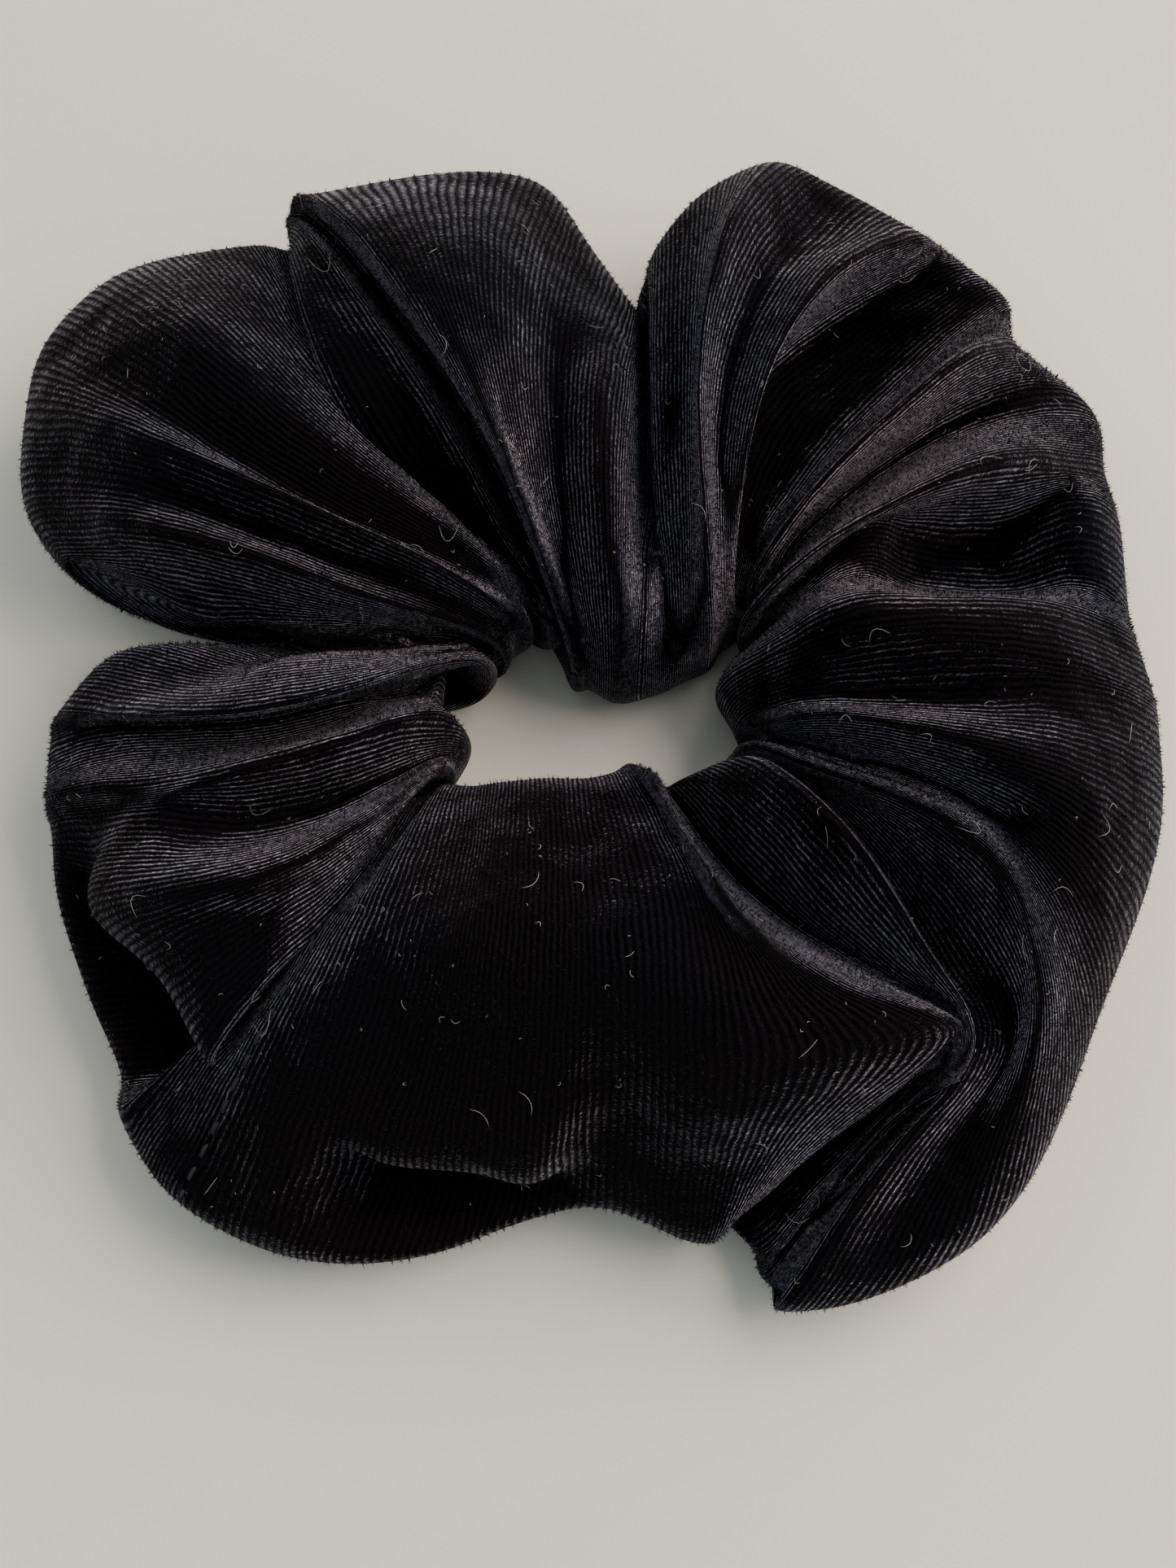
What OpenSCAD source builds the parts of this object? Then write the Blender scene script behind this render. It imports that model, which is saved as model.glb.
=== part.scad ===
// Hair scrunchie: a gathered velour tube sewn into a ring, with a loop of flat elastic inside it.
// The ring lies flat on z = 0, with the origin below the middle of its box and +Z up.
// The cover is cut through the middle of its hole, because the stretch pulls its right half away.
// All sizes are in millimetres.

/* [Ring] */
// Outside width of the ring, left to right, before the folds are cut into it
ring_width = 116; // [104:1:130]
// Outside depth of the ring, front to back, before the folds are cut into it
ring_depth = 118; // [104:1:130]
// Height of the tallest fold above the table
ring_height = 31; // [24:1:36]
// Width of the hole that the hair goes through
hole_width = 26; // [22:1:30]
// Depth of the hole, front to back
hole_depth = 20; // [18:1:24]
// How far the hole's middle lies in front of the ring's middle
hole_forward = 4; // [0:1:6]

/* [Cloth] */
// Thickness of the knit velour with its pile
cloth_thickness = 1.2; // [0.8:0.1:2]
// Number of small gathers around the ring
gathers = 19; // [11:1:27]
// How deep a gather is cut into the outside and the top
gather_depth = 1.4; // [0:0.1:2.5]

/* [Elastic] */
// Length of the relaxed elastic loop
elastic_length = 118; // [110:1:126]
// Width of the flat elastic
elastic_width = 6; // [4:0.5:8]
// Thickness of the flat elastic
elastic_thickness = 0.9; // [0.6:0.1:1.2]
// Length over which the two ends of the elastic lie on each other
elastic_lap = 12; // [8:1:16]

/* [Stitching] */
// Diameter of the sewing thread
thread_d = 0.4; // [0.3:0.05:0.6]
// Length of one stitch of the long seam
long_stitch = 2.4; // [1.8:0.1:3]

/* [Hidden] */

// The two cover halves stay this far apart where they meet.
half_gap = 0.3;
// Bulges of the outline: direction, half-spread in degrees, reach beyond the plain ring
bulges = [[143, 24, 7], [236, 22, 3], [302, 26, 6]];
// Pinches between the big folds: direction, half-spread in degrees, depth cut into the outline
pinches = [[84, 12, 13], [124, 8, 4], [167, 9, 17], [194, 20, 5], [274, 16, 7]];
// Part of a pinch's depth by which it also lowers the top
pinch_sink = 0.35;
// Each half of the cover starts in this direction and turns through half the ring.
right_start = -90;
left_start = 90;
half_turn = 180;
section_count = 61;
section_points = 22;
// A section is a rounded box shape: 2 is an ellipse, more is squarer.
roundness = 2.4;
// Part of a section's height that its upper half takes, so that the underside is cut flat by the table
crown_share = 0.62;

elastic_r = elastic_length / 2 / PI;
elastic_z = ring_height * 0.45;
lap_angle = elastic_lap / elastic_length * 360;
lap_start = 200;
// Zigzag rows of thread across the lap
zigzag_rows = 7;
// The lap's outer strip is sewn this far into the strip below it.
lap_seat = 0.05;

// The long seam runs at this place around the section: 0 is the outer edge, 90 the top.
long_seam_place = 38;
// The long seam's thread starts and ends this many degrees away from the cut.
long_seam_margin = 2;
// The closing seam crosses the ring in this direction, over the top from the outer edge to the hole.
closing_direction = 232;
closing_first = 18;
closing_last = 162;
closing_step = 6;
// Part of a stitch's step that shows as thread
stitch_share = 0.75;
thread_sides = 8;

cloth_colour = "#17151a";
elastic_colour = "#232326";
thread_colour = "#0d0d10";

// A smooth hump that is 1 in its middle and 0 outside its half-spread.
function hump(offset, spread) = abs(offset) >= spread ? 0 : (1 + cos(180 * offset / spread)) / 2;

// The shortest turn from one direction to another.
function turn(from, to) = (to - from + 540) % 360 - 180;

function total(list, i = 0) = i >= len(list) ? 0 : list[i] + total(list, i + 1);

// Adds up the humps of a list of folds in one direction.
function folds(list, direction) =
    total([for (f = list) f[2] * hump(turn(f[0], (direction + 720) % 360), f[1])]);

function oval(direction, width, depth) =
    1 / sqrt(pow(2 * cos(direction) / width, 2) + pow(2 * sin(direction) / depth, 2));

function gather(direction) = gather_depth * (1 - cos(gathers * direction)) / 2;

function outer_reach(direction) = oval(direction, ring_width, ring_depth)
    + folds(bulges, direction) - folds(pinches, direction) - gather(direction);

function inner_reach(direction) = oval(direction, hole_width, hole_depth);

function crest(direction) =
    ring_height - gather(direction) - pinch_sink * folds(pinches, direction);

function rounded(value) = sign(value) * pow(abs(value), 2 / roundness);

function facing(direction, reach) = [reach * cos(direction), reach * sin(direction)];

function hole_edge(direction) = facing(direction, inner_reach(direction)) - [0, hole_forward];

function outer_edge(direction) = facing(direction, outer_reach(direction));

outline = [for (direction = [0:3:357]) outer_edge(direction)];
outline_x = [for (p = outline) p[0]];
outline_y = [for (p = outline) p[1]];
// The middle of the outline's box, which the whole ring is moved back from
box_middle = [(max(outline_x) + min(outline_x)) / 2, (max(outline_y) + min(outline_y)) / 2, 0];
hole_middle = [0, -hole_forward, 0] - box_middle;

// A point on the section between the hole's edge and the outer edge: place 0 is outermost, 90 the top.
// The inset moves the point inwards through the cloth.
function cloth_point(direction, place, inset) =
    let (near = hole_edge(direction), far = outer_edge(direction))
    let (half = (far - near) / 2, half_height = crest(direction) * crown_share)
    let (flat = near + half * (1 + (1 - inset / norm(half)) * rounded(cos(place))))
    let (height = crest(direction) - half_height + (half_height - inset) * rounded(sin(place)))
    [flat[0], flat[1], max(inset, height)] - box_middle;

// Half of the hollow cloth tube, open at both ends.
module half_cover(start) {
    directions = [for (i = [0:section_count - 1]) start + half_turn * i / (section_count - 1)];
    places = [for (j = [0:section_points - 1]) 360 * j / section_points];
    outside = [for (direction = directions, place = places) cloth_point(direction, place, 0)];
    inside = [for (direction = directions, place = places)
        cloth_point(direction, place, cloth_thickness)];
    first_inside = len(outside);
    last = (section_count - 1) * section_points;
    ring_steps = [for (i = [0:section_count - 2], j = [0:section_points - 1])
        [i * section_points + j, i * section_points + (j + 1) % section_points]];
    outer_faces = [for (s = ring_steps) [s[0], s[1], s[1] + section_points, s[0] + section_points]];
    inner_faces = [for (f = outer_faces) [for (k = [3:-1:0]) f[k] + first_inside]];
    first_rim = [for (j = [0:section_points - 1])
        [j, j + first_inside, (j + 1) % section_points + first_inside, (j + 1) % section_points]];
    last_rim = [for (f = first_rim) [for (k = [3:-1:0]) f[k] + last]];
    polyhedron(concat(outside, inside), concat(outer_faces, inner_faces, first_rim, last_rim));
}

// A straight piece of thread between two points.
module thread(from, to) {
    run = to - from;
    translate(from)
        rotate([0, acos(run[2] / norm(run)), atan2(run[1], run[0])])
            cylinder(h = norm(run), d = thread_d, $fn = thread_sides);
}

// Stitches along a list of points, each shorter than its step so that the cloth shows between them.
module stitches(points) {
    for (i = [0:len(points) - 2]) {
        thread(points[i], points[i] + (points[i + 1] - points[i]) * stitch_share);
    }
}

// The long seam's stitches sit on the inside of the cloth, all along one half of the ring.
module long_seam(start) {
    count = floor(PI * ring_width / 2 / long_stitch);
    sewn_turn = half_turn - 2 * long_seam_margin;
    directions = [for (i = [0:count]) start + long_seam_margin + sewn_turn * i / count];
    stitches([for (direction = directions)
        cloth_point(direction, long_seam_place, cloth_thickness)]);
}

module cover_left() {
    color(cloth_colour)
        translate([-half_gap / 2, 0, 0])
            half_cover(left_start);
}

module cover_right() {
    color(cloth_colour)
        translate([half_gap / 2, 0, 0])
            half_cover(right_start);
}

// One flat strip laid into a loop, with its second end lying on the outside of the first.
module elastic_band() {
    color(elastic_colour)
        translate([0, 0, elastic_z] + hole_middle) {
            rotate_extrude()
                translate([elastic_r, -elastic_width / 2])
                    square([elastic_thickness, elastic_width]);
            rotate([0, 0, lap_start])
                rotate_extrude(angle = lap_angle)
                    translate([elastic_r + elastic_thickness - lap_seat, -elastic_width / 2])
                        square([elastic_thickness, elastic_width]);
        }
}

// Zigzag stitches through the lap, seen on its outside.
module elastic_stitching() {
    reach = elastic_r + 2 * elastic_thickness - lap_seat;
    swing = elastic_width / 2 - thread_d;
    corners = [for (i = [0:2 * zigzag_rows])
        let (flat = facing(lap_start + lap_angle * (i + 1) / (2 * zigzag_rows + 2), reach))
        [flat[0], flat[1], i % 2 == 0 ? swing : -swing]];
    color(thread_colour)
        translate([0, 0, elastic_z] + hole_middle) {
            for (i = [0:len(corners) - 2]) {
                thread(corners[i], corners[i + 1]);
            }
        }
}

module long_seam_left() {
    color(thread_colour)
        long_seam(left_start);
}

module long_seam_right() {
    color(thread_colour)
        long_seam(right_start);
}

// The top stitching that closes the tube, over the top of one section.
module closing_seam() {
    color(thread_colour)
        stitches([for (place = [closing_first:closing_step:closing_last])
            cloth_point(closing_direction, place, 0)]);
}

cover_left();
cover_right();
elastic_band();
elastic_stitching();
long_seam_left();
long_seam_right();
closing_seam();
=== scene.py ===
"""Looks of the scrunchie: one gathered velour tube on a hidden elastic loop, lying on a pale table."""

import itertools
import math

import bpy
import numpy as np
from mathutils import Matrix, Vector


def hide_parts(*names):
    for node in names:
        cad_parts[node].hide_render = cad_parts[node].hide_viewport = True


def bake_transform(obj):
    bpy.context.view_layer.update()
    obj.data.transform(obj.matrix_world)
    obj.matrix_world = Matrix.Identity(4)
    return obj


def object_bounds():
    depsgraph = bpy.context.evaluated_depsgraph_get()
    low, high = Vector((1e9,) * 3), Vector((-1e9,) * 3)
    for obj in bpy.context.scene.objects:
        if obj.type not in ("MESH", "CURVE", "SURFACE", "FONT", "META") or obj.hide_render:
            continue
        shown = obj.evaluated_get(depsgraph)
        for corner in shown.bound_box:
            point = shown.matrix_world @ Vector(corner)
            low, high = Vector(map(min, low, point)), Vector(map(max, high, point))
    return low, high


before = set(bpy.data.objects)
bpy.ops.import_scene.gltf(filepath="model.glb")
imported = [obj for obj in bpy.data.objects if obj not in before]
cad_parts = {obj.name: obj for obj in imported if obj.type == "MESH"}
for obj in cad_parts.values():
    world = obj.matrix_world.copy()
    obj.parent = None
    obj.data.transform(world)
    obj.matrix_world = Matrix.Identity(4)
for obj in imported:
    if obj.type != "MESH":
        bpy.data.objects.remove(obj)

cad_low, cad_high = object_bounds()
ring_width = cad_high[0] - cad_low[0]

# One unit is a millimetre on a ring of the design's own width.
DESIGN_WIDTH = 114.9
unit = ring_width / DESIGN_WIDTH
table_z = cad_low[2]
# Keeps a length from being zero where something is divided by it.
TINY = 1e-9

# The strip of cloth before sewing, in units: width around the tube and length before gathering. The
# folds below take up less than that length, because the finest gathers at the elastic aren't in them.
CLOTH_ROUND = 112.0
# Grid of the cloth: sections along the ring and points around a section.
SECTIONS = 400
ROUND_POINTS = 62
HALF_ROUND = ROUND_POINTS // 2


# Fold lines
# A fold line runs over the top of the ring, from its hole end to its rim end. Ends are (right, back) in
# units from the ring's middle. Bow is how far the line swings out to its left half-way. Heights are at
# the hole edge, hole wall, inner shoulder, middle, outer shoulder, brow and rim.
STATIONS = np.array([0.0, 0.13, 0.3, 0.5, 0.7, 0.88, 1.0])
# Corner of the front panel, which stands free over the pocket behind it.
TIP = (33, -38)
# How far the cloth goes back in below a lapping edge, and how high it lies there.
LAP_SET_IN = 2.0
LAP_UP = 7.0


def even_shares(count):
    """Evenly spaced shares of a way, from 0 to 1."""
    return np.linspace(0.0, 1.0, count)


def over(hole, rim, bow, heights, shares=STATIONS):
    """Points of a fold line from hole to rim, at heights that stand at shares of its way."""
    run = np.subtract(rim, hole)
    aside = np.array([-run[1], run[0]]) / np.linalg.norm(run)
    plan = np.add(hole, np.outer(shares, run)) + np.outer(np.sin(math.pi * shares) * bow, aside)
    return np.column_stack([plan, heights])


def round_corner(hole, corner, rim, bow, heights, under):
    """A fold line that runs out to a corner and then back beneath it to the rim."""
    out = over(hole, corner, bow, heights, even_shares(len(heights)))
    back = over(corner, rim, 0, (heights[-1], *under), even_shares(len(under) + 1))
    return np.vstack([out, back[1:]])


def lapping(hole, edge, rim, bow, heights):
    """A fold line whose edge laps over the cloth below it."""
    out = over(hole, edge, bow, heights, even_shares(len(heights)))
    inward = np.subtract(hole, edge) / np.linalg.norm(np.subtract(hole, edge))
    below = np.add(edge, inward * LAP_SET_IN)
    return np.vstack([out, [*below, LAP_UP], [*rim, LAP_UP]])


# The folds, counterclockwise from the right as seen from above.
FOLDS = [
    # right: a shoulder, then a pocket pressed in under a brow
    ("right_shoulder", "ridge", over((14, 0), (55, 2), 0, (10, 19, 26, 26, 24, 18, 12))),
    ("right_pocket", "valley", over((15, 4), (54, 8), 5, (9, 14, 20, 12, 11, 18, 12))),
    ("right_pocket_back", "valley", over((16, 5), (54, 15), 5, (10, 17, 21, 14, 11, 18, 12))),
    ("right_brow", "ridge", over((16, 6), (53, 22), 0, (12, 20, 25, 27, 24, 18, 12))),
    ("right_groove", "valley", over((17, 10), (52, 30), 5, (7, 10, 11, 12, 15, 16, 12))),
    ("right_crest", "ridge", over((17, 10), (45, 35), 0, (10, 21, 25, 26, 26, 21, 14))),
    # back right: a deep hollow, and a band that stands over it
    ("back_right_hollow", "valley", over((16, 11), (43, 42), 5, (6, 7, 7, 8, 10, 14, 15))),
    ("back_right_tuck", "valley", over((15, 9), (40, 45), 11, (6, 8, 8, 8, 9, 13, 15))),
    ("back_right_edge", "ridge", over((15, 7), (35, 49), 6, (10, 18, 23, 24, 24, 20, 15))),
    ("back_right_dip", "ridge", over((14, 6), (28, 54), 6, (11, 19, 20, 20, 20, 17, 15))),
    ("back_right_crest", "ridge", over((13, 4), (21, 57), 5, (12, 22, 26, 27, 27, 22, 15))),
    ("back_right_slope", "ridge", over((11, 3), (13, 54), 1, (13, 19, 21, 21, 21, 18, 15))),
    # back: a narrow notch, and a pleat that hangs into the hole
    ("back_notch_edge", "ridge", over((9, 2), (8, 48), 1, (11, 16, 16, 18, 17, 16, 14))),
    ("back_notch", "ridge", over((6, 1), (7, 47), -1, (10, 18, 13, 7, 7, 7, 8))),
    ("back_pleat", "ridge", over((3, 1), (5, 44), 2, (10, 20, 24, 25, 22, 15, 11))),
    ("back_ribs", "ridge", over((1, 2), (1, 49), 3, (10, 17, 20, 21, 21, 17, 13))),
    ("back_left_mid", "ridge", over((0, 2), (-3, 54), 4, (9, 17, 23, 26, 25, 20, 15))),
    ("back_left_crest", "ridge", over((-1, 6), (-28, 53), 0, (8, 20, 26, 28, 27, 22, 15))),
    # back left: a groove, then a fold that lies over the next lobe
    ("back_left_groove", "valley", over((-2, 7), (-30, 52), -4, (7, 9, 9, 10, 12, 16, 14))),
    ("back_left_fold", "ridge", over((-2, 7), (-30, 50), 2, (9, 10, 17, 22, 22, 20, 14))),
    ("back_left_edge", "ridge", over((-3, 7), (-30, 47), 6, (9, 10, 15, 21, 22, 20, 13))),
    ("left_back_tuck", "valley", over((-4, 7), (-30, 51), 2, (9, 9, 7, 7, 8, 9, 9))),
    ("left_back_slope", "valley", over((-4, 10), (-35, 48), 3, (7, 12, 15, 17, 18, 17, 14))),
    ("left_back_crest", "ridge", over((-5, 9), (-49, 43), 4, (11, 19, 22, 25, 26, 21, 14))),
    # left: long ridges that end in a notch on the outer edge
    ("left_back_dip", "ridge", over((-5, 7), (-55, 36), 4, (12, 18, 20, 22, 23, 19, 13))),
    ("left_back_ridge", "ridge", over((-6, 6), (-56, 27), 2, (12, 20, 24, 26, 25, 20, 13))),
    ("left_furrow", "ridge", over((-7, 5), (-56, 21), 1, (12, 17, 19, 21, 22, 18, 12))),
    ("left_side_ridge", "ridge", over((-8, 4), (-54, 16), 2, (12, 17, 21, 25, 24, 18, 12))),
    ("left_ribs", "ridge", over((-9, 4), (-51, 13), 2, (11, 16, 18, 20, 20, 16, 12))),
    ("left_notch_crease", "ridge", over((-9, 4), (-50, 13), 3, (10, 14, 16, 14, 11, 13, 11))),
    ("left_notch_lip", "ridge", over((-9, 4), (-47, 12), 3, (9, 12, 15, 14, 12, 12, 9))),
    ("left_notch", "valley", over((-9, 4), (-29, 8), 3, (8, 11, 13, 12, 8, 5, 4))),
    ("left_shoulder", "ridge", over((-9, 4), (-46, 4), 5, (9, 14, 18, 19, 14, 13, 9))),
    # front left: soft lobes either side of a long valley, the last ones lapping over a lower layer
    ("left_ridge", "ridge", over((-9, 2), (-50, -2), 8, (12, 20, 24, 25, 22, 16, 11))),
    ("left_valley", "valley", over((-10, 2), (-51, -7), 1, (8, 9, 10, 10, 12, 14, 11))),
    ("left_mid", "valley", over((-10, -2), (-51, -10), 1, (10, 16, 14, 13, 15, 15, 11))),
    ("left_lip", "ridge", over((-11, -5), (-51, -12), 4, (11, 20, 22, 22, 19, 16, 11))),
    ("left_dip", "ridge", over((-12, -8), (-51, -14), 5, (12, 15, 15, 16, 19, 13, 8))),
    ("left_front_crest", "ridge", lapping((-13, -10), (-45, -24), (-50, -21), 6, (14, 22, 25, 24, 15))),
    ("left_front_fold", "ridge", lapping((-13, -10), (-38, -31), (-46, -31), 4, (13, 19, 22, 22, 14))),
    ("left_front_corner", "ridge", lapping((-14, -10), (-34, -38), (-43, -37), 2, (12, 15, 17, 19, 13))),
    ("left_front_valley", "valley", over((-14, -10), (-42, -42), 0, (11, 12, 9, 7, 7, 8, 8))),
    ("closing_seam", "ridge", over((-14, -12), (-36, -50), 0, (14, 15, 18, 19, 16, 11, 8))),
    # front: a broad smooth panel that laps over its own foot and ends in the free corner
    ("front_left_rise", "ridge", over((-13, -12), (-28, -54), 1, (16, 21, 24, 23, 18, 13, 8))),
    ("front_left", "ridge", lapping((-10, -13), (-18, -47), (-21, -55), 2, (18, 25, 27, 20, 14))),
    ("front_left_lap", "ridge", lapping((-7, -13), (-11, -48), (-13, -54), 1, (19, 26, 28, 21, 14))),
    ("front_crest", "ridge", lapping((-3, -13), (-4, -49), (-5, -51), 1, (20, 27, 28, 22, 12))),
    ("front_mid", "ridge", over((1, -13), (2, -50), 1, (20, 24, 27, 29, 23, 14, 7))),
    ("front_right", "ridge", over((5, -12), (10, -53), 3, (20, 24, 28, 29, 26, 14, 7))),
    ("front_right_edge", "ridge",
     round_corner((6, -12), (32, -38), (14, -51), -6, (19, 26, 29, 28, 25), (17, 12, 6))),
    ("front_tuck", "ridge", round_corner((9, -11), TIP, (14, -51), 0, (12, 10, 12, 19, 24), (11, 7, 5))),
    ("front_pocket", "ridge", round_corner((10, -11), TIP, (16, -53), 0, (14, 15, 15, 19, 24), (11, 8, 6))),
    ("front_tip_fold", "ridge",
     round_corner((15, -9), TIP, (17, -56), 1, (15, 24, 27, 27, 25), (12, 8, 6))),
    # front right: pleats behind the corner, and a round bulge
    ("front_tip_tuck", "valley",
     round_corner((16, -7), (34, -37), (18, -58), 4, (9, 8, 8, 11, 18), (14, 10, 7))),
    ("front_pleat", "ridge",
     round_corner((16, -6), (34, -38), (18, -59), 5, (8, 8, 8, 11, 20), (18, 14, 6))),
    ("right_front_valley", "ridge",
     round_corner((16, -7), (38, -37), (23, -59), 5, (10, 13, 12, 15, 18), (16, 12, 7))),
    ("right_front_bulge", "ridge", over((16, -7), (35, -54), 14, (12, 15, 18, 21, 22, 16, 8))),
    ("right_front_dip", "ridge", over((17, -7), (49, -31), 6, (12, 15, 16, 18, 20, 19, 10))),
    ("right_lip", "ridge", over((17, -5), (56, -12), -1, (11, 20, 23, 24, 23, 18, 10))),
    ("right_dip", "ridge", over((16, -4), (56, -5), 0, (11, 18, 19, 20, 21, 18, 11))),
    ("right_patch", "ridge", over((15, -2), (56, -2), 0, (11, 19, 23, 25, 23, 18, 11))),
]


# Cloth laid out over the fold lines
HOLE_MIDDLE = np.array([2.0, -4.0])
# A valley's hole end is pulled back from the hole by this much, and its underside is lifted by this much.
PLEAT_DEPTH = 4.0
PLEAT_LIFT = 5.0
# The way back under the ring. It turns in below the rim, meets the table at its foot, crosses the sole
# and comes up at the hole. Places are set in from the rim or the hole, or are shares of the width.
RIM_SET_IN = 2.0
FOOT_SET_IN = 7.0
OUTER_SOLE = 0.6
INNER_SOLE = 0.35
HOLE_SET_IN = 2.0
# Its heights, where a drop is a share of the rim's or the hole edge's own height, and a foot lift a share
# of the pleat's.
RIM_DROP = 0.4
FOOT_LIFT = 0.2
SOLE_HEIGHT = 0.6
HOLE_FOOT_HEIGHT = 1.6
HOLE_DROP = 0.5
# Points worked out on a section's smooth curve between two of its route's points.
CURVE_STEPS = 12
# Sections stand apart by this percentile of their distances, from the hole to just under the rim.
SPACING_PERCENTILE = 80
PAST_RIM = HALF_ROUND + 4


def run_along(line):
    """Distances along an open line of points, starting at 0."""
    steps = np.linalg.norm(np.diff(line, axis=0), axis=-1)
    return np.concatenate([[0.0], np.cumsum(steps)])


def catmull(points, knots, samples):
    """Periodic Catmull-Rom curve through points (first axis) at knots, which end with the period."""
    count = len(points)
    period = knots[-1]
    samples = np.mod(samples, period)
    index = np.clip(np.searchsorted(knots, samples, side="right") - 1, 0, count - 1)

    def at(k):
        return points[k % count], knots[k % count] + period * (k // count)

    (p0, t0), (p1, t1), (p2, t2), (p3, t3) = (at(index + step) for step in (-1, 0, 1, 2))
    shape = (-1,) + (1,) * (points.ndim - 1)
    t0, t1, t2, t3, t = (np.reshape(v, shape) for v in (t0, t1, t2, t3, samples))
    span = t2 - t1
    slope1 = ((p1 - p0) / (t1 - t0) * (t2 - t1) + (p2 - p1) / (t2 - t1) * (t1 - t0)) / (t2 - t0)
    slope2 = ((p2 - p1) / (t2 - t1) * (t3 - t2) + (p3 - p2) / (t3 - t2) * (t2 - t1)) / (t3 - t1)
    s = (t - t1) / span
    return (p1 * (1 + 2 * s) * (1 - s) ** 2 + p2 * s * s * (3 - 2 * s)
            + slope1 * span * s * (1 - s) ** 2 - slope2 * span * s * s * (1 - s))


def evenly(line, count):
    """count points spaced evenly along an open line, without its last point."""
    along = run_along(line)
    wanted = np.linspace(0.0, along[-1], count, endpoint=False)
    return np.stack([np.interp(wanted, along, line[:, k]) for k in range(3)], axis=-1)


def section(kind, route):
    """A fold line closed under the ring into a whole section of the tube."""
    upper = route.copy()
    hole, rim = upper[0], upper[-1]
    out = (rim[:2] - hole[:2]) / np.linalg.norm(rim[:2] - hole[:2])
    lift = 0.0
    if kind == "valley":
        away = hole[:2] - HOLE_MIDDLE
        hole[:2] += away / np.linalg.norm(away) * PLEAT_DEPTH
        lift = PLEAT_LIFT
    width = np.linalg.norm(rim[:2] - hole[:2])
    below = (
        (width - RIM_SET_IN, rim[2] * RIM_DROP),
        (width - FOOT_SET_IN, SOLE_HEIGHT + lift * FOOT_LIFT),
        (width * OUTER_SOLE, SOLE_HEIGHT + lift),
        (width * INNER_SOLE, SOLE_HEIGHT),
        (HOLE_SET_IN, HOLE_FOOT_HEIGHT),
        (0.0, hole[2] * HOLE_DROP),
    )
    lower = [[*(hole[:2] + out * way), height] for way, height in below]
    loop = np.vstack([upper, lower])
    knots = run_along(np.vstack([loop, loop[:1]]))
    # even sampling inside each span keeps the rim at a known place
    spans = np.arange(len(loop) * CURVE_STEPS) / CURVE_STEPS
    curve = catmull(loop, knots, np.interp(spans, np.arange(len(knots)), knots))
    rim_at = (len(upper) - 1) * CURVE_STEPS
    top = evenly(curve[:rim_at + 1], HALF_ROUND)
    bottom = evenly(np.vstack([curve[rim_at:], curve[:1]]), ROUND_POINTS - HALF_ROUND)
    return np.vstack([top, bottom])


def laid_out():
    """The tube as the fold lines place it, sections x round points x 3, and how far along each line is."""
    lines = np.array([section(kind, route) for name, kind, route in FOLDS])
    gaps = np.linalg.norm(np.roll(lines, -1, axis=0) - lines, axis=-1)
    spacing = np.percentile(gaps[:, :PAST_RIM], SPACING_PERCENTILE, axis=1)
    knots = np.concatenate([[0.0], np.cumsum(spacing)])
    return catmull(lines, knots, np.arange(SECTIONS) / SECTIONS * knots[-1]), knots


# Relaxing the cloth
RELAX_ROUNDS = 200
# How strongly the cloth is held to where it was laid out, in the first rounds and in the last.
FIRM_HOLD = 0.06
LIGHT_HOLD = 0.02
# Each neighbour, as (sections, points) further on, and how strongly its distance is kept.
PULLS = {(1, 0): 0.9, (0, 1): 0.9, (1, 1): 0.3, (1, -1): 0.3}
# How much longer than laid out the cloth may be, and how much of its sharpest bends each round takes out.
CLOTH_EASE = 1.01
BEND_EASE = 0.35
# Layers are kept this far apart, by this share of what is missing, once in so many rounds.
LAYER_GAP = 1.5
LAYER_PUSH = 0.25
LAYER_ROUNDS = 4
# Points up to this many grid steps apart count as neighbours in the cloth, and not as two layers.
GRID_REACH = 3
# The cloth's grid stays at least this high over the table.
FLOOR_GAP = 0.35
# Cells along each axis of the search for near points, which lie around the middle cell.
CELLS = 1024


def ahead(cloth, shift):
    """The grid moved back, so that each point has the one a shift of (sections, points) further on."""
    return np.roll(cloth, (-shift[0], -shift[1]), axis=(0, 1))


def distance(cloth, shift):
    """Distance of each grid point to the one a shift further on."""
    return np.linalg.norm(ahead(cloth, shift) - cloth, axis=-1, keepdims=True)


def toward_length(cloth, shift, rest, share):
    """Moves of grid points, one shift apart, toward their rest distance."""
    run = ahead(cloth, shift) - cloth
    length = np.linalg.norm(run, axis=-1, keepdims=True) + TINY
    # each of the two points takes half of the way
    move = run * (share * 0.5 * (1.0 - rest / length))
    return move - np.roll(move, shift, axis=(0, 1))


def around(cloth):
    """Each point's offset to the mean of its four neighbours."""
    mean = sum(np.roll(cloth, step, axis=axis) for step in (1, -1) for axis in (0, 1)) / 4.0
    return mean - cloth


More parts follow.
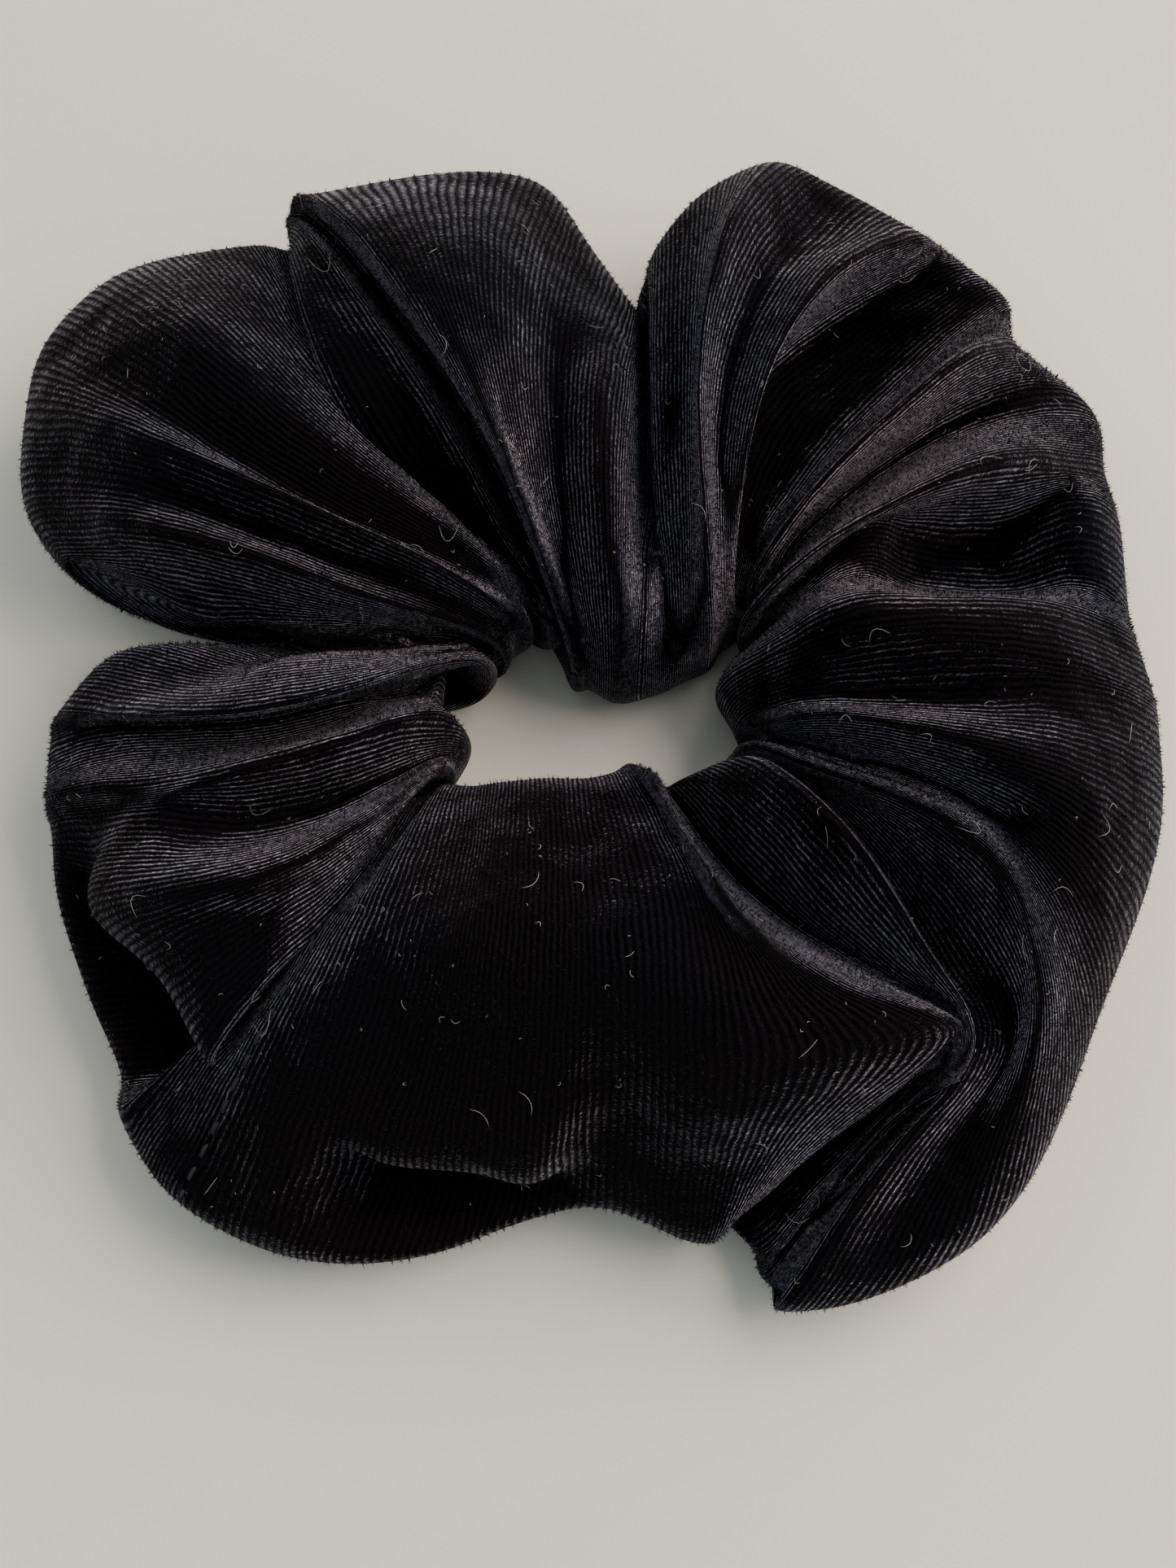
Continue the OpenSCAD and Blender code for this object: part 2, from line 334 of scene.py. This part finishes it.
def near_pairs(flat, reach):
    """Index pairs of points closer than reach, found through a grid of cells of that size."""
    cell = np.floor(flat / reach).astype(np.int64) + CELLS // 2
    key = (cell[:, 0] * CELLS + cell[:, 1]) * CELLS + cell[:, 2]
    order = np.argsort(key, kind="stable")
    sorted_key = key[order]
    firsts, seconds = [], []
    # half of the cells around each one, so that a pair is found from one side only
    for step in itertools.product((-1, 0, 1), repeat=3):
        if step < (0, 0, 0):
            continue
        wanted = key + (step[0] * CELLS + step[1]) * CELLS + step[2]
        start = np.searchsorted(sorted_key, wanted, side="left")
        stop = np.searchsorted(sorted_key, wanted, side="right")
        for k in range(int((stop - start).max())):
            rows = np.nonzero(start + k < stop)[0]
            others = order[start[rows] + k]
            if step == (0, 0, 0):
                rows, others = rows[others > rows], others[others > rows]
            close = np.linalg.norm(flat[rows] - flat[others], axis=1) < reach
            firsts.append(rows[close])
            seconds.append(others[close])
    return np.concatenate(firsts), np.concatenate(seconds)


def part_layers(cloth):
    """Pushes apart, in place, points that lie too close without being neighbours in the cloth."""
    rows, cols = cloth.shape[:2]
    flat = cloth.reshape(-1, 3)
    first, second = near_pairs(flat, LAYER_GAP)
    row_gap = np.abs(first // cols - second // cols)
    col_gap = np.abs(first % cols - second % cols)
    row_gap = np.minimum(row_gap, rows - row_gap)
    col_gap = np.minimum(col_gap, cols - col_gap)
    apart = (row_gap > GRID_REACH) | (col_gap > GRID_REACH)
    first, second = first[apart], second[apart]
    run = flat[second] - flat[first]
    length = np.linalg.norm(run, axis=1, keepdims=True) + TINY
    push = run / length * (LAYER_GAP - length) * LAYER_PUSH
    np.add.at(flat, first, -push)
    np.add.at(flat, second, push)


def relax(cloth, rounds):
    """Lets the laid-out tube settle as cloth: it bends softly, keeps its lengths and keeps layers apart."""
    home = cloth.copy()
    rest = {shift: distance(cloth, shift) * CLOTH_EASE for shift in PULLS}
    for k in range(rounds):
        hold = LIGHT_HOLD + (FIRM_HOLD - LIGHT_HOLD) * (1.0 - k / rounds) ** 2
        cloth = cloth + (home - cloth) * hold
        for shift, share in PULLS.items():
            cloth = cloth + toward_length(cloth, shift, rest[shift], share)
        cloth = cloth - around(around(cloth)) * BEND_EASE
        if k % LAYER_ROUNDS == 0:
            part_layers(cloth)
        cloth[..., 2] = np.maximum(cloth[..., 2], FLOOR_GAP)
    return cloth


def finer(cloth):
    """The cloth's grid with twice the points both ways, on a smooth curve through the old ones."""
    for axis in (0, 1):
        turned = np.moveaxis(cloth, axis, 0)
        before, after, beyond = (np.roll(turned, step, axis=0) for step in (1, -1, -2))
        # the middle of the cubic through four points in a row
        between = (9.0 * (turned + after) - before - beyond) / 16.0
        doubled = np.empty((2 * len(turned),) + turned.shape[1:])
        doubled[0::2] = turned
        doubled[1::2] = between
        cloth = np.moveaxis(doubled, 0, axis)
    return cloth


def unit_vectors(vectors):
    """The same directions with length 1."""
    return vectors / (np.linalg.norm(vectors, axis=-1, keepdims=True) + TINY)


def outward(cloth):
    """Unit normals of the grid, pointing out of the tube."""
    along = np.roll(cloth, -1, axis=0) - np.roll(cloth, 1, axis=0)
    across = np.roll(cloth, -1, axis=1) - np.roll(cloth, 1, axis=1)
    normal = np.cross(along, across)
    from_middle = cloth - cloth.mean(axis=1, keepdims=True)
    return unit_vectors(normal * np.sign((from_middle * normal).sum()))


def in_frame(points):
    """Points in units as the frame's own metres, none of them below the table."""
    above = np.array(points, dtype=float)
    above[..., 2] = np.maximum(above[..., 2], 0.0)
    return above * unit + np.array([0.0, 0.0, table_z])


def new_piece(name, points, faces, smooth=False):
    """A mesh object of points in units, put in the scene."""
    mesh = bpy.data.meshes.new(name)
    mesh.from_pydata(in_frame(points).tolist(), [], faces)
    mesh.polygons.foreach_set("use_smooth", [smooth] * len(mesh.polygons))
    mesh.update()
    piece = bpy.data.objects.new(name, mesh)
    bpy.context.scene.collection.objects.link(piece)
    return piece


# The cover
# The long seam's share of the way around a section, from the hole over the top, and its point there.
LONG_SEAM_SHARE = 0.62
LONG_SEAM_PLACE = int(2 * ROUND_POINTS * LONG_SEAM_SHARE)
# A section's step along the flat cloth is this percentile of its points' steps, over the upper half.
STEP_PERCENTILE = 75
# The cloth's texture coordinates count in hundreds of units.
UV_UNITS = 100.0


def along_cloth(cloth):
    """How far along the flat cloth each section lies, ending with the whole length."""
    steps = np.linalg.norm(np.roll(cloth, -1, axis=0) - cloth, axis=-1)
    widest = np.percentile(steps[:, :cloth.shape[1] // 2], STEP_PERCENTILE, axis=1)
    return np.concatenate([[0.0], np.cumsum(widest)])


def tube_mesh(name, cloth):
    """The cover over the grid, one strip of cloth whose long edges meet at the seam on the underside."""
    rows, cols = cloth.shape[:2]
    # the strip starts and ends at the seam, so that its column there is in the mesh twice
    strip = np.roll(cloth, -LONG_SEAM_PLACE, axis=1)
    strip = np.concatenate([strip, strip[:, :1]], axis=1)
    i, j = np.meshgrid(np.arange(rows), np.arange(cols), indexing="ij")
    i2, wide = (i + 1) % rows, cols + 1
    quads = np.stack([i * wide + j, i2 * wide + j, i2 * wide + j + 1, i * wide + j + 1], axis=-1)
    piece = new_piece(name, strip.reshape(-1, 3), quads.reshape(-1, 4).tolist(), smooth=True)
    uv = piece.data.uv_layers.new(name="Cloth")
    u = along_cloth(cloth)[np.stack([i, i + 1, i + 1, i], axis=-1).reshape(-1)]
    v = np.stack([j, j, j + 1, j + 1], axis=-1).reshape(-1) / cols * CLOTH_ROUND
    uv.data.foreach_set("uv", np.stack([u, v], axis=-1).ravel() / UV_UNITS)
    return piece


# Threads
THREAD_R = 0.2
# A thread's radius at its ends, as a share of its own.
THREAD_END = 0.4
# A direction that threads hardly ever run in, from which their sides are worked out.
SIDEWAYS = (0.31, 0.22, 0.93)
# A stitch every so far, the thread on top for this share of it and this high over the cloth.
STITCH = 2.4
STITCH_SHARE = 0.72
STITCH_RISE = (0.1, 0.14, 0.1)
# How deep stitch ends go in: the top stitching into the cloth, the long seam's into its allowance.
TOP_SINK = 0.3
SEAM_SINK = 0.1
# The closing seam's first and last point around its section: over the top, to just under the rim.
CLOSING_FIRST = 6
CLOSING_LAST = 2 * HALF_ROUND + 4
# The long seam lies this far inside the cloth.
SEAM_ALLOWANCE = 0.5


def ring_faces(first, sides):
    """The faces of a tube between two rings of points that follow each other, starting at first."""
    faces = []
    for j in range(sides):
        after = (j + 1) % sides
        faces.append((first + j, first + after, first + sides + after, first + sides + j))
    return faces


def strands_mesh(name, strands, radius, sides=6):
    """One piece of round threads. Each strand is a line of points in units and tapers to closed ends."""
    points, faces = [], []
    turns = np.arange(sides) / sides * 2.0 * math.pi
    for strand in strands:
        line = np.asarray(strand, dtype=float)
        run = unit_vectors(np.gradient(line, axis=0))
        side = unit_vectors(np.cross(run, SIDEWAYS))
        up = np.cross(run, side)
        thick = np.full(len(line), radius)
        thick[[0, -1]] *= THREAD_END
        start = len(points)
        for k in range(len(line)):
            round_line = np.cos(turns)[:, None] * side[k] + np.sin(turns)[:, None] * up[k]
            points.extend(line[k] + thick[k] * round_line)
        for k in range(len(line) - 1):
            faces.extend(ring_faces(start + k * sides, sides))
        faces.append(tuple(start + j for j in reversed(range(sides))))
        faces.append(tuple(len(points) - sides + j for j in range(sides)))
    return new_piece(name, points, faces, smooth=True)


def stitches(line, normals, sink):
    """Short threads along a line of points with outward normals, their ends sunk into the cloth."""
    along = run_along(line)
    rise = np.array([-sink, *STITCH_RISE, -sink])
    strands = []
    for k in range(int(along[-1] / STITCH)):
        places = (k + np.linspace(0.0, STITCH_SHARE, len(rise))) * STITCH
        here = np.stack([np.interp(places, along, line[:, n]) for n in range(3)], axis=1)
        out = np.stack([np.interp(places, along, normals[:, n]) for n in range(3)], axis=1)
        strands.append(here + out * rise[:, None])
    return strands


def section_of(name, knots):
    """The section of the finer grid at a named fold line."""
    order = [line[0] for line in FOLDS].index(name)
    return int(round(knots[order] / knots[-1] * SECTIONS)) * 2


def closing_seam(cloth, normals, row):
    """Top stitching that closes the tube, over the top of one section."""
    places = slice(CLOSING_FIRST, CLOSING_LAST)
    strands = stitches(cloth[row, places], normals[row, places], TOP_SINK)
    return strands_mesh("closing_stitches", strands, THREAD_R)


def long_seam(cloth, normals):
    """The lengthwise seam on the inside of the cloth, all along the tube."""
    inward = -normals[:, LONG_SEAM_PLACE]
    inside = cloth[:, LONG_SEAM_PLACE] + inward * SEAM_ALLOWANCE
    return strands_mesh("long_stitches", stitches(inside, inward, SEAM_SINK), THREAD_R, sides=5)


# The elastic
ELASTIC_LENGTH = 118.0
ELASTIC_WIDTH = 6.0
ELASTIC_THICKNESS = 0.9
ELASTIC_LAP = 12.0
# The loop's middle, and how far its inner face stands from it to the side and to the front.
ELASTIC_MIDDLE = (2.3, -4.0, 4.6)
ELASTIC_SIDE = 20.5
ELASTIC_DEEP = 17.0
ELASTIC_STEPS = 180
# The lap, in degrees round the loop: where it starts, its size, and the climb of the outer end onto it.
LAP_START = 200.0
LAP_TURN = ELASTIC_LAP / ELASTIC_LENGTH * 360.0
LAP_CLIMB = 12.0
# The zigzag's rows, and how many of its steps stay free at each end of the lap.
ZIGZAG_ROWS = 7
ZIGZAG_ROOM = 2


def elastic_point(turn, out, up):
    """A point on the loop: turn in degrees, out from its inner face, up from its middle."""
    angle = math.radians(turn)
    return (ELASTIC_MIDDLE[0] + (ELASTIC_SIDE + out) * math.cos(angle),
            ELASTIC_MIDDLE[1] + (ELASTIC_DEEP + out) * math.sin(angle), ELASTIC_MIDDLE[2] + up)


def elastic_band():
    """One flat strip laid into a loop, its second end over the first."""
    points, faces = [], []
    for turn in np.linspace(LAP_START, LAP_START + 360.0 + LAP_TURN, ELASTIC_STEPS):
        past_lap = (turn - LAP_START - 360.0) / LAP_CLIMB
        climb = min(1.0, max(0.0, past_lap + 0.5)) * ELASTIC_THICKNESS
        for out, up in ((0.0, -0.5), (1.0, -0.5), (1.0, 0.5), (0.0, 0.5)):
            points.append(elastic_point(turn, climb + out * ELASTIC_THICKNESS, up * ELASTIC_WIDTH))
    for k in range(ELASTIC_STEPS - 1):
        faces.extend(ring_faces(4 * k, 4))
    faces.append((3, 2, 1, 0))
    faces.append(tuple(len(points) - 4 + j for j in range(4)))
    return new_piece("elastic_loop", points, faces)


def elastic_stitching():
    """Zigzag of thread through the lap, seen on its outside."""
    swing = ELASTIC_WIDTH / 2.0 - 2.0 * THREAD_R
    out = 2.0 * ELASTIC_THICKNESS + THREAD_R * 0.5
    corners = 2 * ZIGZAG_ROWS
    step = LAP_TURN / (corners - 1 + 2 * ZIGZAG_ROOM)
    turns = [LAP_START + step * (k + ZIGZAG_ROOM) for k in range(corners)]
    line = [elastic_point(turns[k], out, swing * (-1) ** k) for k in range(corners)]
    return strands_mesh("zigzag_stitches", [line], THREAD_R)


# Lint and pile
LINT_SEED = 7
LINT_COUNT = 700
LINT_R = 0.022
LINT_POINTS = 6
# The least length of lint, the most that some of it is longer, and how rare the long pieces are.
LINT_LENGTH = 0.25
LINT_EXTRA = 2.4
LINT_RARITY = 5
# How strongly it bends, and how high it lies on the cloth.
LINT_BEND = 1.6
LINT_RISE = 0.12
# The first point around a section that lint lies on, clear of the hole's wall.
LINT_FIRST = 8


def lint(cloth, normals):
    """Stray white fibres caught in the pile, lying on the upper side."""
    random = np.random.default_rng(LINT_SEED)
    steps = np.linspace(-0.5, 0.5, LINT_POINTS)[:, None]
    strands = []
    for _ in range(LINT_COUNT):
        row = random.integers(2 * SECTIONS)
        place = random.integers(LINT_FIRST, 2 * HALF_ROUND)
        normal = normals[row, place]
        heading = unit_vectors(np.cross(normal, random.normal(size=3)))
        length = LINT_LENGTH + LINT_EXTRA * random.random() ** LINT_RARITY
        bend = random.normal() * LINT_BEND
        curve = (steps * heading + bend * steps ** 2 * np.cross(normal, heading)) * length
        strands.append(cloth[row, place] + normal * LINT_RISE + curve)
    return strands_mesh("lint", strands, LINT_R, sides=4)


RIB_PITCH = 0.76
PILE_SEED = 3
PILE_COUNT = 90000
PILE_LENGTH = 0.45
PILE_WIDTH = 0.10
# How far fibres lean, and their shortest and longest shares of the pile's length.
PILE_SPREAD = 0.4
PILE_LENGTHS = (0.6, 1.2)
# Where on a rib its fibres stand, and how far they stray from there, as shares of the pitch.
RIB_TOP = 0.25
RIB_STRAY = 0.1


def between_points(grid, row, col):
    """Values of a closed grid at places between its points."""
    rows, cols = grid.shape[:2]
    i, j = np.floor(row).astype(int), np.floor(col).astype(int)
    a, b = (row - i)[:, None], (col - j)[:, None]
    i, j, i2, j2 = i % rows, j % cols, (i + 1) % rows, (j + 1) % cols
    return ((grid[i, j] * (1 - a) + grid[i2, j] * a) * (1 - b)
            + (grid[i, j2] * (1 - a) + grid[i2, j2] * a) * b)


def pile(cloth, normals):
    """Short fibres on the ribs, as far round as the long seam, each a single thin triangle."""
    random = np.random.default_rng(PILE_SEED)
    rows, cols = cloth.shape[:2]
    along = along_cloth(cloth)
    ribs = random.integers(0, int(along[-1] / RIB_PITCH), PILE_COUNT)
    place = (ribs + RIB_TOP + random.normal(size=PILE_COUNT) * RIB_STRAY) * RIB_PITCH
    row = np.interp(place, along, np.arange(rows + 1))
    col = random.uniform(0.0, cols * LONG_SEAM_SHARE, PILE_COUNT)
    root, normal = between_points(cloth, row, col), between_points(normals, row, col)
    lean = unit_vectors(normal + random.normal(size=(PILE_COUNT, 3)) * PILE_SPREAD)
    side = unit_vectors(np.cross(lean, random.normal(size=(PILE_COUNT, 3)))) * PILE_WIDTH / 2.0
    length = PILE_LENGTH * random.uniform(*PILE_LENGTHS, (PILE_COUNT, 1))
    points = np.stack([root - side, root + side, root + lean * length], axis=1).reshape(-1, 3)
    return new_piece("pile", points, np.arange(3 * PILE_COUNT).reshape(-1, 3).tolist())


# Materials
class Nodes:
    """Short helpers for building a node material."""

    def __init__(self, name):
        self.material = bpy.data.materials.new(name)
        self.material.use_nodes = True
        self.tree = self.material.node_tree
        self.shader = self.tree.nodes["Principled BSDF"]

    def new(self, kind, **settings):
        node = self.tree.nodes.new(kind)
        for key, value in settings.items():
            setattr(node, key, value)
        return node

    def put(self, value, socket):
        """A socket's value: another node's output, a number or a colour."""
        if isinstance(value, bpy.types.NodeSocket):
            self.tree.links.new(value, socket)
        elif isinstance(value, tuple):
            socket.default_value = (*value, 1.0)
        else:
            socket.default_value = value

    def math(self, operation, first, second=0.0):
        node = self.new("ShaderNodeMath", operation=operation)
        self.put(first, node.inputs[0])
        self.put(second, node.inputs[1])
        return node.outputs[0]

    def object_place(self):
        return self.new("ShaderNodeTexCoord").outputs["Object"]

    def noise(self, vector, scale, detail=2.0, roughness=0.5):
        node = self.new("ShaderNodeTexNoise")
        for name, value in dict(Vector=vector, Scale=scale, Detail=detail, Roughness=roughness).items():
            self.put(value, node.inputs[name])
        return node.outputs["Fac"]

    def mixed(self, factor, first, second):
        node = self.new("ShaderNodeMix", data_type="RGBA")
        colours = [socket for socket in node.inputs if socket.type == "RGBA"]
        self.put(factor, node.inputs["Factor"])
        for socket, value in zip(colours, (first, second)):
            self.put(value, socket)
        return next(socket for socket in node.outputs if socket.type == "RGBA")

    def bump(self, height, distance):
        node = self.new("ShaderNodeBump")
        node.inputs["Strength"].default_value = 1.0
        node.inputs["Distance"].default_value = distance
        self.put(height, node.inputs["Height"])
        return node

    def set(self, **values):
        """Inputs of the shader, by their names with underscores for spaces."""
        for key, value in values.items():
            self.put(value, self.shader.inputs[key.replace("_", " ")])


# Heights of the ribs and of the broad waves in the nap, and how strong its sheen is.
RIB_DEPTH = 0.17
NAP_WAVE = 3.0
SHEEN = 0.68
# How far ribs wander off their line, in hundreds of units.
RIB_WANDER = 0.008
# Base colour where the ribs dip and the tufts are low: painted shade in the rib grooves, and a darker tone
# at random where the tufts noise is low.
PAINTED_GROOVE_SHADE = (0.0002, 0.0002, 0.0003)
WARM_BLACK = (0.0050, 0.0012, 0.0018)
COOL_BLACK = (0.0012, 0.0015, 0.0045)
WARM_SHEEN = (0.78, 0.58, 0.62)
COOL_SHEEN = (0.52, 0.58, 0.80)


def velour():
    """Near-black knit velour: fine ribs across the tube's length under a soft, slightly violet pile."""
    nodes = Nodes("velour")
    place = nodes.new("ShaderNodeUVMap", uv_map="Cloth").outputs["UV"]
    body = nodes.object_place()
    split = nodes.new("ShaderNodeSeparateXYZ")
    nodes.put(place, split.inputs["Vector"])
    wander = nodes.math("MULTIPLY", nodes.noise(place, scale=25.0, detail=3.0), RIB_WANDER)
    along = nodes.math("ADD", split.outputs["X"], wander)
    turns = nodes.math("MULTIPLY", along, UV_UNITS / RIB_PITCH * 2.0 * math.pi)
    rib = nodes.math("MULTIPLY", nodes.math("ADD", nodes.math("SINE", turns), 1.0), 0.5)
    tufts = nodes.math("MULTIPLY", nodes.noise(body, scale=2.2 / unit, detail=3.0, roughness=0.75), 2.0)
    broad = nodes.noise(body, scale=0.045 / unit)
    # Rib crest times tufts: low in the rib grooves, where it paints shade into the base colour, and low at
    # random where the tufts noise is low.
    rib_crest_and_tufts = nodes.math("MULTIPLY", rib, nodes.math("POWER", tufts, 3.0))
    waves = nodes.bump(nodes.noise(body, scale=0.09 / unit, roughness=0.55), NAP_WAVE * unit)
    ribs = nodes.bump(nodes.math("ADD", rib, tufts), RIB_DEPTH * unit)
    nodes.put(waves.outputs["Normal"], ribs.inputs["Normal"])
    # The base colour is painted darkest in the rib grooves as painted shade; the sheen weight follows the
    # same ribs and tufts.
    nodes.set(Base_Color=nodes.mixed(rib_crest_and_tufts, PAINTED_GROOVE_SHADE, nodes.mixed(broad, WARM_BLACK, COOL_BLACK)),
              Normal=ribs.outputs["Normal"], Roughness=0.6, Specular_IOR_Level=0.03,
              Sheen_Weight=nodes.math("MULTIPLY", rib_crest_and_tufts, SHEEN), Sheen_Roughness=0.17,
              Sheen_Tint=nodes.mixed(broad, WARM_SHEEN, COOL_SHEEN))
    return nodes.material


def fibre(name, colour, roughness=0.8):
    """A plain fibre or braid with a faint uneven tone."""
    nodes = Nodes(name)
    darker = tuple(0.7 * part for part in colour)
    tone = nodes.mixed(nodes.noise(nodes.object_place(), scale=0.8 / unit), darker, colour)
    nodes.set(Base_Color=tone, Roughness=roughness, Specular_IOR_Level=0.15)
    return nodes.material


def table_top():
    """Pale matt table with faint, broad patches."""
    nodes = Nodes("table_top")
    patches = nodes.noise(nodes.object_place(), scale=6.0)
    tone = nodes.mixed(patches, (0.60, 0.56, 0.475), (0.64, 0.60, 0.51))
    nodes.set(Base_Color=tone, Roughness=0.6, Specular_IOR_Level=0.15)
    return nodes.material


def finished(piece, material):
    """The piece with its material on it."""
    piece.data.materials.append(material)
    return piece


# The pieces, made and placed
laid, knots = laid_out()
cloth = finer(relax(laid, RELAX_ROUNDS))
normals = outward(cloth)
thread = fibre("thread", (0.02, 0.019, 0.022))

cover = finished(tube_mesh("cover", cloth), velour())
seams = finished(closing_seam(cloth, normals, section_of("closing_seam", knots)), thread)
inner_seam = finished(long_seam(cloth, normals), thread)
band = finished(elastic_band(), fibre("elastic", (0.03, 0.03, 0.033)))
zigzag = finished(elastic_stitching(), thread)
fibres = finished(lint(cloth, normals), fibre("lint", (0.34, 0.33, 0.32)))
fuzz = finished(pile(cloth, normals), fibre("pile", (0.003, 0.0028, 0.0035), 0.9))

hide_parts("cover_left", "cover_right")
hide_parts("long_seam_left", "long_seam_right")
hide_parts("closing_seam")
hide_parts("elastic_band")
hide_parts("elastic_stitching")
for piece in (cover, fuzz, seams, inner_seam, band, zigzag, fibres):
    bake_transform(piece)


# Camera, floor and light
LENS = 50.0
SENSOR_WIDTH = 36.0
VIEW_ELEVATION = math.radians(70.0)
VIEW_DISTANCE = 212.0
LOOK_AT = (0.9, -9.2, 8.0)
FLOOR_SIZE = 3.0


def add_camera():
    data = bpy.data.cameras.new("camera")
    data.lens = LENS
    data.sensor_width = SENSOR_WIDTH
    data.clip_start = 0.01
    camera = bpy.data.objects.new("camera", data)
    bpy.context.scene.collection.objects.link(camera)
    away = Vector((0.0, -math.cos(VIEW_ELEVATION), math.sin(VIEW_ELEVATION)))
    camera.location = Vector(LOOK_AT) * unit + away * VIEW_DISTANCE * unit
    camera.rotation_euler = (math.radians(90.0) - VIEW_ELEVATION, 0.0, 0.0)
    bpy.context.scene.camera = camera


def add_light(name, location, size, energy, colour):
    """A square lamp that faces the ring's middle."""
    data = bpy.data.lights.new(name, "AREA")
    data.size = size
    data.energy = energy
    data.color = colour
    light = bpy.data.objects.new(name, data)
    light.location = location
    light.rotation_euler = (-Vector(location)).to_track_quat("-Z", "Y").to_euler()
    bpy.context.scene.collection.objects.link(light)


def add_floor():
    bpy.ops.mesh.primitive_plane_add(size=FLOOR_SIZE, location=(0, 0, table_z))
    floor = bpy.context.object
    floor.name = "floor"
    finished(floor, table_top())


def add_sky(colour, strength):
    """An even light from all around."""
    world = bpy.context.scene.world or bpy.data.worlds.new("world")
    bpy.context.scene.world = world
    world.use_nodes = True
    background = world.node_tree.nodes["Background"]
    background.inputs["Color"].default_value = (*colour, 1.0)
    background.inputs["Strength"].default_value = strength


add_camera()
add_light("key", location=(0.45, 0.16, 0.42), size=0.65, energy=9.6, colour=(1.0, 0.92, 0.80))
add_light("fill", location=(-0.25, 0.40, 0.40), size=0.6, energy=0.8, colour=(1.0, 0.96, 0.90))
add_floor()
add_sky(colour=(0.82, 0.93, 1.0), strength=0.76)
